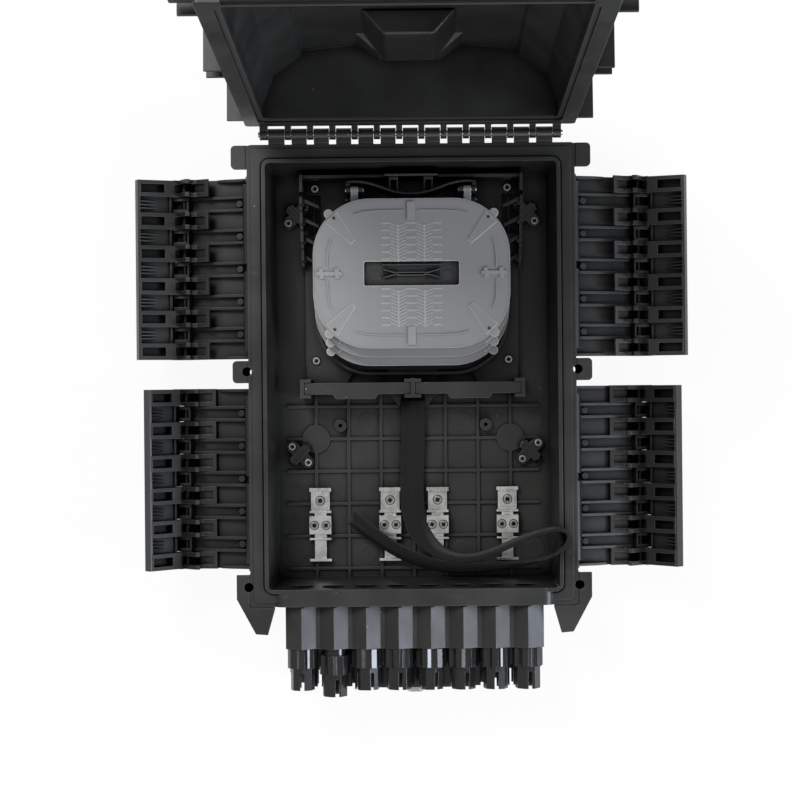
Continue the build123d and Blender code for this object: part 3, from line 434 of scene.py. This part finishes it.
# Back of the tray holder, moulded in one with it: behind the trays a thin wall bows in between two
# posts, and two open clips stand on the back wall.
bow_half = [(4, 127.6), (12, 129), (20, 131.8), (27, 134.4), (34, 136), (41, 136.4), (46.2, 135.6)]
bow_line = [(-x, y) for x, y in bow_half[::-1]] + bow_half
back_pieces = band(bow_line, 1.8, 12, 49)
for side in (-1, 1):
    back_pieces.append(plan_box(side * 44.8 - 1.5, side * 44.8 + 1.5, 129, 136, 12, 50))
    back_pieces.append(plan_box(side * 34.4 - 1.5, side * 34.4 + 1.5, 127.5, 134.5, 12, 38))
    clip_x = side * 12.4
    back_pieces.append(plan_box(clip_x - 3.4, clip_x - 2, 130.5, 141, 22, 44))
    back_pieces.append(plan_box(clip_x + 2, clip_x + 3.4, 130.5, 141, 22, 44))
    back_pieces.append(plan_box(clip_x - 3.4, clip_x + 3.4, 138.6, 141, 22, 47))
    back_pieces.append(plan_box(clip_x - 2, clip_x + 2, 132.4, 133.8, 22, 40))
back_pieces.append(plan_box(-19, 19, 141, 142.6, 12, 51))
add_piece("tray_holder_back_wall", back_pieces, black, "base", 0.0004)

# Inside the lid a trapezoid block stands in from the crown near the hinge, moulded with the lid.
# It leans with the draft of the crown.
crown_lean = 0.07
channel = [([(-31, 231), (-16.2, 214.6), (16.2, 214.6), (31, 231)], 100, 174, "z")]
add_piece("lid_channel_block", channel, black, "lid", 0.0016, crown_lean)

# Glands, nuts and tie saddles are black nylon, smoother than the box and slightly polished.
nylon = Finish("smooth_black_nylon")
wave = nylon.noise(45, 3)
nylon = nylon.close({"Base Color": nylon.mix(wave, (0.009, 0.0092, 0.0095), (0.016, 0.0164, 0.0168)),
                     "Roughness": 0.12 + 0.14 * wave, "Coat Weight": 0.25, "Coat Roughness": 0.2,
                     "Normal": nylon.bump(nylon.noise(900, 2), 0.15, 0.0001)})
dress(["upper_gland_nuts", "middle_gland_nuts", "lower_gland_nuts", "gland_bodies", "oval_port_collar",
       "tie_saddles"], nylon)

# The lid seal, held in its groove, and the seal in the oval port: soft black rubber.
rubber = Finish("black_seal_rubber")
cloud = rubber.noise(300, 3)
rubber = rubber.close({"Base Color": rubber.mix(cloud, (0.018, 0.018, 0.018), (0.03, 0.03, 0.03)),
                       "Roughness": 0.7 + 0.15 * cloud, "Normal": rubber.bump(cloud, 0.2, 0.0002)})
dress(["lid_gasket", "oval_port_seal"], rubber)


# Stamped clamps, cross-head screws and hinge pins: plated steel, brushed along its length.
# The clamps are screwed to pads on the floor, and the latch pins are blackened.
def plated(name, tint, gloss, brush, shade=0.8):
    """Plated steel with clouds of a darker shade and painted shade along its edges; brush stretches its fine
    lines.
    """
    f = Finish(name)
    lines = f.noise(700, 3, 0.6, brush)
    stain = f.ramp(f.noise(160, 4), 0.45, 0.8)
    cloud = f.ramp(f.noise(70, 2), 0.4, 0.62)
    colour = f.mix(cloud * 0.8 + stain * 0.2, tint, (tint[0] * shade, tint[1] * shade, tint[2] * shade))
    # Painted shade: the edges are darkened.
    return f.close({"Base Color": f.mix(f.edges(0.0005), colour, (0.05, 0.05, 0.048)),
                    "Metallic": 1.0, "Roughness": gloss + 0.14 * lines + 0.1 * stain,
                    "Normal": f.bump(lines, 0.12, 0.0001)})


screw_nodes = ["clamp_screws", "holder_screws", "tie_saddle_screws"]
latch_pins = ["left_upper_latch_pin", "left_lower_latch_pin", "right_upper_latch_pin",
              "right_lower_latch_pin", "latch_base_pins"]
dress(["clamp_plates", "clamp_blocks", "clamp_saddles"],
      plated("bright_stamped_steel", (0.95, 0.95, 0.93), 0.16, (8, 0.4, 1), 0.6))
dress(screw_nodes, plated("nickel_screws", (0.55, 0.545, 0.53), 0.24, (1, 1, 1)))
dress(["hinge_pin", "tray_hinge_pins", "oval_port_bolt"],
      plated("turned_steel_pins", (0.82, 0.82, 0.82), 0.18, (1, 9, 1)))
dress(latch_pins, plated("blackened_latch_pins", (0.022, 0.022, 0.023), 0.36, (1, 9, 1)))


def screw_tops(name):
    """The middle, the top and the radius of each screw in a node of several."""
    node = bpy.data.objects[name]
    bm = bmesh.new()
    bm.from_mesh(node.data)
    bm.transform(node.matrix_world)
    left = set(bm.verts)
    tops = []
    while left:
        queue = [left.pop()]
        island = list(queue)
        while queue:
            for edge in queue.pop().link_edges:
                for vert in edge.verts:
                    if vert in left:
                        left.remove(vert)
                        queue.append(vert)
                        island.append(vert)
        high = max(v.co.z for v in island)
        head = [v.co for v in island if v.co.z > high - 0.002]
        xs, ys = [p.x for p in head], [p.y for p in head]
        middle = (500 * (min(xs) + max(xs)), 500 * (min(ys) + max(ys)))
        tops.append((*middle, 1000 * high, 500 * (max(xs) - min(xs))))
    bm.free()
    return tops


# Every screw head shows a dark cross recess, each turned as its screw came to rest. The crosses are painted
# shade of the recesses, and a dark ring under each head is a painted shadow.
crosses = []
heads = sorted(top for name in screw_nodes for top in screw_tops(name))
for count, (x, y, z, r) in enumerate(heads):
    turn = radians(count * 37 % 90)
    # Painted shadow: a thin dark ring on the seat under the head.
    crosses.append((round_outline((x, y), r + 0.5, 24), z - 1.98, z - 1.7, "z"))
    for quarter in (0, pi / 2):
        c, s = cos(turn + quarter), sin(turn + quarter)
        arm = box_outline(-0.62 * r, 0.62 * r, -0.14 * r, 0.14 * r)
        crosses.append(([(x + a * c - b * s, y + a * s + b * c) for a, b in arm], z - 0.4, z + 0.06, "z"))
cross_dark = Finish("cross_recess_shadow")
cross_dark = cross_dark.close({"Base Color": (0.01, 0.01, 0.01, 1), "Roughness": 0.6})
add_piece("screw_cross_recesses", crosses, cross_dark, "base")

# The floor carries the faint round marks of the mould's ejector pins.
mark_places = ((-33, -33.7), (35.5, -33.5), (88.4, -33.5), (-86, -130), (-33.9, -130), (34.6, -128),
               (88.3, -128))
floor_marks = [(round_outline(at, 6.8), 3.9, 4.25, "z") for at in mark_places]
add_piece("floor_pin_marks", floor_marks, black, "base")

# Splice trays of smoke-grey ABS, each under a snapped-on cover that lets the combs show through.
tray_grey = Finish("smoke_grey_tray")
haze = tray_grey.noise(30, 3)
tray_tint = tray_grey.mix(haze, (0.2, 0.203, 0.205), (0.25, 0.253, 0.256))
# Painted highlight: the tray's edges are paled as if they caught the light.
tray_tint = tray_grey.mix(0.7 * tray_grey.edges(0.0009), tray_tint, (0.7, 0.71, 0.72))
tray_grey = tray_grey.close({"Base Color": tray_tint, "Roughness": 0.38 + 0.1 * haze,
                             "Normal": tray_grey.bump(tray_grey.noise(1200, 1), 0.1, 0.0001)})
dress(["splice_tray_1", "splice_tray_2", "splice_tray_3"], tray_grey)
cover_grey = Finish("frosted_grey_cover")
haze = cover_grey.noise(24, 3)
cover_tint = cover_grey.mix(haze, (0.34, 0.345, 0.35), (0.38, 0.385, 0.39))
# Painted highlight: the cover's edges are paled as if they caught the light.
cover_tint = cover_grey.mix(cover_grey.edges(0.0009), cover_tint, (0.85, 0.86, 0.87))
cover_grey = cover_grey.close({"Base Color": cover_tint, "Roughness": 0.36 + 0.12 * haze, "Alpha": 0.55,
                               "Normal": cover_grey.bump(cover_grey.noise(1500, 1), 0.1, 0.0001)})
dress(["tray_cover_1", "tray_cover_2", "tray_cover_3"], cover_grey)

# Under the top cover two pairs of herringbone combs, moulded with the tray, hold the fibre splices.
# The combs stand up into the cover, so that they show through it.
tray_y = 71.5
fin_pitch = 2.35
cover_node = bpy.data.objects["tray_cover_1"]
cover_top = max((cover_node.matrix_world @ v.co).z for v in cover_node.data.vertices) * 1000
cover_floor = cover_top - 0.9
combs = []
for low, high in ((8.4, 34.4), (-38, -12)):
    for spine in (-9.3, 9.3):
        spine_foot = (spine - 0.6, spine + 0.6, tray_y + low, tray_y + high)
        combs.append(plan_box(*spine_foot, cover_floor - 5, cover_floor))
        for k in range(11):
            at = tray_y + low + 0.6 + k * fin_pitch
            for way in (-1, 1):
                fin = [(spine + way * 0.4, at), (spine + way * 5.6, at + 2.4), (spine + way * 5.6, at + 3.2),
                       (spine + way * 0.4, at + 0.8)]
                combs.append((fin, cover_floor - 4, cover_floor - 0.1, "z"))
    for k in range(6):
        at = tray_y + low + 1 + k * 5.1
        for x0, x1 in ((-21.5, -15.2), (-3.6, 3.6), (15.2, 21.5)):
            combs.append(plan_box(x0, x1, at, at + 1.1, cover_floor - 4, cover_floor - 0.2))
comb_grey = Finish("pale_comb_plastic")
comb_grey = comb_grey.close({"Base Color": (0.66, 0.66, 0.64, 1), "Roughness": 0.4})
add_piece("splice_combs", combs, comb_grey, "tray_1")

# The top cover carries raised seams along its rim, a mark in the middle of each side, notched at the
# left and right, and a dark eye in the boss at each corner, all moulded with it.
marks = []
for way in (-1, 1):
    mark_y = tray_y + way * 44
    marks.append(plan_box(-2.8, 2.8, mark_y - 6.5, mark_y + 6.5, cover_top - 0.1, cover_top + 0.4))
    for side in (-1, 1):
        seam = [(side * x, tray_y + way * y) for x, y in ((40, 41.2), (34, 43.0), (22, 43.9), (5, 44.0))]
        marks += band(seam, 0.8, cover_top - 0.1, cover_top + 0.3)
        seam = [(way * x, tray_y + side * y) for x, y in ((56.8, 25), (58.8, 19), (59.5, 10), (59.5, 4))]
        marks += [([p, (p[0] + 0.8, p[1]), (q[0] + 0.8, q[1]), q], cover_top - 0.1, cover_top + 0.3, "z")
                  for p, q in zip(seam, seam[1:])]
    mark_x = way * 58
    marks.append(plan_box(mark_x - 9, mark_x + 9, tray_y - 1.4, tray_y + 1.4,
                          cover_top - 0.1, cover_top + 0.4))
    for across in (-5.5, 5.5):
        notch = [(mark_x + across - 1.2, tray_y - 3.6), (mark_x + across + 1.8, tray_y - 3.6),
                 (mark_x + across + 1.2, tray_y + 3.6), (mark_x + across - 1.8, tray_y + 3.6)]
        marks.append((notch, cover_top - 0.1, cover_top + 0.5, "z"))
raised_grey = Finish("raised_cover_seams")
raised_grey = raised_grey.close({"Base Color": (0.27, 0.273, 0.277, 1), "Roughness": 0.35})
add_piece("cover_seams", marks, raised_grey, "tray_1", 0.0001)
eyes = [(round_outline((x, tray_y + y), 1.1, 14), cover_top - 0.1, cover_top + 0.15, "z")
        for x in (-54.4, 54.4) for y in (-39.2, 39.2)]
eye_black = moulded_black("eye_black", (0.004, 0.004, 0.004), (0.006, 0.006, 0.006), 0.6)
add_piece("cover_corner_eyes", eyes, eye_black, "tray_1")

# In the finger window of the top tray lies a dark plastic plate with a black double spring clip,
# whose open ends lie over two wells. The wells are thin near-black sheets of painted shade.
clip_z = cover_top - 3
clip_low, clip_high = clip_z - 1.4, clip_z + 1.4
window_plate = [plan_box(-33.2, 33.2, tray_y - 8.2, tray_y + 8.2, clip_z - 3, clip_low),
                (round_outline((-25.5, 70), 4, 20), clip_z - 1.5, clip_z - 1.1, "z"),
                (round_outline((25.5, 70), 4, 20), clip_z - 1.5, clip_z - 1.1, "z"),
                plan_box(-21, 21, 77.2, 78.2, clip_z - 1.5, clip_z + 0.6)]
plate_black = moulded_black("window_plate_black", (0.03, 0.031, 0.032), (0.045, 0.046, 0.047), 0.4)
add_piece("window_plate", window_plate, plate_black, "tray_1", 0.0002)
painted_well_shades = [plan_box(x0, x1, 67.2, 75.6, clip_z - 1.5, clip_z - 1.2)
              for x0, x1 in ((-20.6, -10), (10, 20.6))]
painted_well_shade = moulded_black("painted_well_shade", (0.004, 0.004, 0.004), (0.006, 0.006, 0.006), 0.6)
add_piece("window_clip_wells", painted_well_shades, painted_well_shade, "tray_1")
clip_parts = []
for way in (-1, 1):
    for rise in (-1, 1):
        arm_line = [(way * 20, 71 + rise * 3.0), (way * 13, 71 + rise * 0.9), (way * 9, 71 + rise * 0.5)]
        clip_parts += band(arm_line[::way], 0.8, clip_low, clip_high)
for y0, y1 in ((69.9, 70.7), (71.8, 72.6)):
    clip_parts.append(plan_box(-10, 10, y0, y1, clip_low, clip_high))
clip_black = moulded_black("clip_black", (0.06, 0.061, 0.062), (0.08, 0.081, 0.082), 0.35)
add_piece("window_spring_clip", clip_parts, clip_black, "tray_1", 0.0001)

# Hook-and-loop strap: 17 mm black webbing that leaves the middle clip flat, lies down the floor,
# turns on edge over the clamps and ends in a loop over the rim. It is soft and lies free.
# The route is in mm, with the lean of the strap about its line in degrees.
strap_width = 0.017
strap_thickness = 0.0013
strap_route = [
    (0.0, -19.0, 11.0, 90), (0.3, -40.0, 9.4, 90), (-0.6, -62.0, 8.6, 90), (-1.6, -84.0, 9.4, 88),
    (-0.6, -103.0, 12.5, 76), (6.0, -119.0, 18.0, 48), (20.0, -131.0, 22.5, 20), (40.0, -133.2, 26.5, 12),
    (56.0, -127.8, 34.0, 10), (74.0, -118.4, 47.0, 8), (91.0, -110.6, 62.0, 4), (102.0, -108.2, 73.0, 0),
    (108.2, -112.0, 77.0, 0), (106.6, -119.6, 76.0, 2), (98.0, -127.0, 68.0, 8), (84.0, -132.4, 54.0, 16),
    (66.0, -136.6, 38.0, 24), (46.0, -139.2, 28.0, 28), (26.0, -139.6, 24.2, 30), (8.0, -136.0, 23.6, 32),
    (-10.0, -128.4, 23.6, 34), (-28.0, -116.2, 22.0, 36), (-38.0, -108.4, 20.0, 38),
    (-45.0, -102.6, 19.0, 38),
]
strap_line = bpy.data.curves.new("tray_strap_line", "CURVE")
strap_line.dimensions = "3D"
strap_line.twist_mode = "Z_UP"
strap_line.extrude = strap_width / 2
strap_line.resolution_u = 10
run = strap_line.splines.new("NURBS")
run.points.add(len(strap_route) - 1)
for point, (x, y, z, lean) in zip(run.points, strap_route):
    point.co = (x / 1000, y / 1000, z / 1000, 1)
    point.tilt = radians(lean)
run.order_u = 4
run.use_endpoint_u = True
strap_curve = bpy.data.objects.new("strap_curve", strap_line)
bpy.context.scene.collection.objects.link(strap_curve)
bpy.context.view_layer.update()
strap_mesh = bpy.data.meshes.new_from_object(strap_curve.evaluated_get(bpy.context.evaluated_depsgraph_get()))
bpy.data.objects.remove(strap_curve)
strap = bpy.data.objects.new("loop_pile_strap", strap_mesh)
bpy.context.scene.collection.objects.link(strap)
thick = strap.modifiers.new("webbing_thickness", "SOLIDIFY")
thick.thickness = strap_thickness
thick.offset = 0
webbing = Finish("brushed_loop_webbing")
pile = webbing.noise(1500, 4, 0.7)
tuft = webbing.noise(420, 3)
webbing_tint = webbing.mix(pile * 0.6 + tuft * 0.4, (0.004, 0.004, 0.0045), (0.024, 0.024, 0.026))
webbing = webbing.close({"Base Color": webbing_tint, "Roughness": 0.85 + 0.1 * pile,
                         "Sheen Weight": 0.12, "Sheen Roughness": 0.4, "Specular IOR Level": 0.2,
                         "Normal": webbing.bump(pile + 0.5 * tuft, 0.9, 0.0006)})
strap.data.materials.append(webbing)
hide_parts("tray_strap")
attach(strap, "base")

# White table under the box: matt paper that the camera sees almost evenly white.
table_top = bpy.data.meshes.new("table_top")
bm = bmesh.new()
bmesh.ops.create_grid(bm, x_segments=1, y_segments=1, size=6)
bmesh.ops.translate(bm, vec=(0, 0, -0.0008), verts=bm.verts)
bm.to_mesh(table_top)
bm.free()
table_top = bpy.data.objects.new("white_table", table_top)
bpy.context.scene.collection.objects.link(table_top)
paper = Finish("white_paper_table")
seen = paper.make("ShaderNodeLightPath", out="Is Camera Ray")
matt = paper.make("ShaderNodeBsdfDiffuse", None, {"Color": (0.82, 0.82, 0.82, 1)})
glow = paper.make("ShaderNodeEmission", None, {"Color": (1, 1, 1, 1), "Strength": 1.0})
blended = paper.make("ShaderNodeMixShader", None, {0: seen * 0.93, 1: matt, 2: glow})
paper_out = paper.tree.nodes.new("ShaderNodeOutputMaterial")
paper.tree.links.new(blended.socket, paper_out.inputs["Surface"])
table_top.data.materials.append(paper.material)

# Soft light: a pale room, a broad lamp over the left shoulder, a cooler window on the right and a low
# fill from the front.
room = bpy.data.worlds.new("pale_room")
bpy.context.scene.world = room
room.use_nodes = True
backdrop = room.node_tree.nodes["Background"]
backdrop.inputs["Color"].default_value = (1.0, 1.0, 1.0, 1)
backdrop.inputs["Strength"].default_value = 0.38


def lamp(name, place, aim, size, power, tint):
    light = bpy.data.lights.new(name, "AREA")
    light.shape = "DISK"
    light.size = size
    light.energy = power
    light.color = tint
    holder = bpy.data.objects.new(name, light)
    holder.location = place
    holder.rotation_mode = "QUATERNION"
    holder.rotation_quaternion = (Vector(aim) - Vector(place)).to_track_quat("-Z", "Y")
    bpy.context.scene.collection.objects.link(holder)


lamp("left_softbox", (-0.9, 1.3, 2.1), (0, 0, 0), 0.9, 46, (1.0, 0.98, 0.95))
lamp("right_window", (1.6, -0.5, 1.0), (0, -0.1, 0.05), 0.7, 19, (0.8, 0.87, 1.0))
lamp("low_front_fill", (0.4, -1.7, 1.5), (0, 0.1, 0.1), 1.0, 16, (1.0, 0.99, 0.97))
